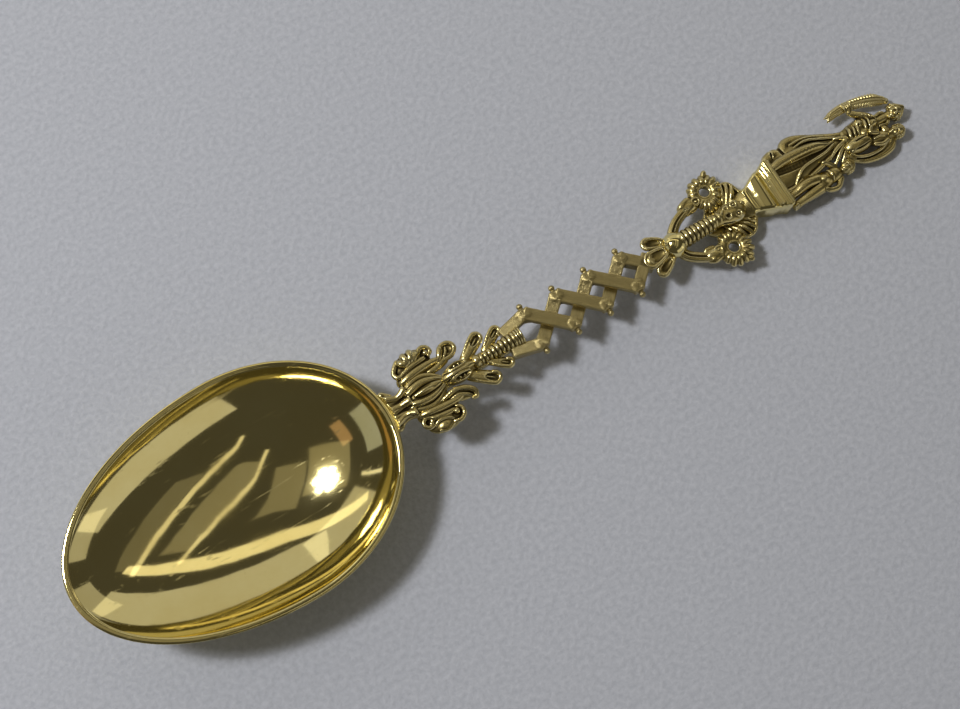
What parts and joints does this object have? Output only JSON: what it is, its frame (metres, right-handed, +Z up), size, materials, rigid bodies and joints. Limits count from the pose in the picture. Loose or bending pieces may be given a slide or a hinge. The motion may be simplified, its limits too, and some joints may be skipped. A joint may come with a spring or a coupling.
{
  "type": "souvenir spoon",
  "caption": "Gilt souvenir spoon with an egg-shaped bowl, a pierced lattice stem with scrolls, leaves and serpents, and a draped woman with children as the finial.",
  "frame": {"origin": "on the surface that the spoon lies on, under the middle of its overall length and width", "axes": "+X along the spoon from the bowl's tip to the finial's head, +Y across it, +Z up, with the bowl's hollow and the ornament facing up"},
  "size_m": [0.1998, 0.0498, 0.0162],
  "materials": {
    "polished_gilt": "mirror-polished pale gilding with fine wear scratches",
    "antique_gilt": "cast and gilt, with dark brown patina in the recesses and rubbed highlights",
    "brushed_gilt": "gilt, filed flat and brushed to a satin"
  },
  "bodies": {
    "root": {"beast": "antique_gilt", "bowl": "polished_gilt", "bud": "antique_gilt", "child": "antique_gilt", "flower": "antique_gilt", "infant": "antique_gilt", "lattice_strip_a": "brushed_gilt", "lattice_strip_b": "brushed_gilt", "lattice_studs": "brushed_gilt", "leaf_cushion": "antique_gilt", "left_leaf_1": "antique_gilt", "left_leaf_2": "antique_gilt", "left_leaf_3": "antique_gilt", "left_serpent": "antique_gilt", "left_stalk": "antique_gilt", "left_volute": "antique_gilt", "neck_leaf": "antique_gilt", "palm_branch": "antique_gilt", "plinth": "polished_gilt", "plinth_cap": "polished_gilt", "pod_boss": "antique_gilt", "ribbed_horn": "antique_gilt", "right_leaf_1": "antique_gilt", "right_leaf_2": "antique_gilt", "right_leaf_3": "antique_gilt", "right_serpent": "antique_gilt", "right_stalk": "antique_gilt", "right_volute": "antique_gilt", "shell_plate": "antique_gilt", "strap": "antique_gilt", "woman": "antique_gilt"}
  },
  "joints": []
}
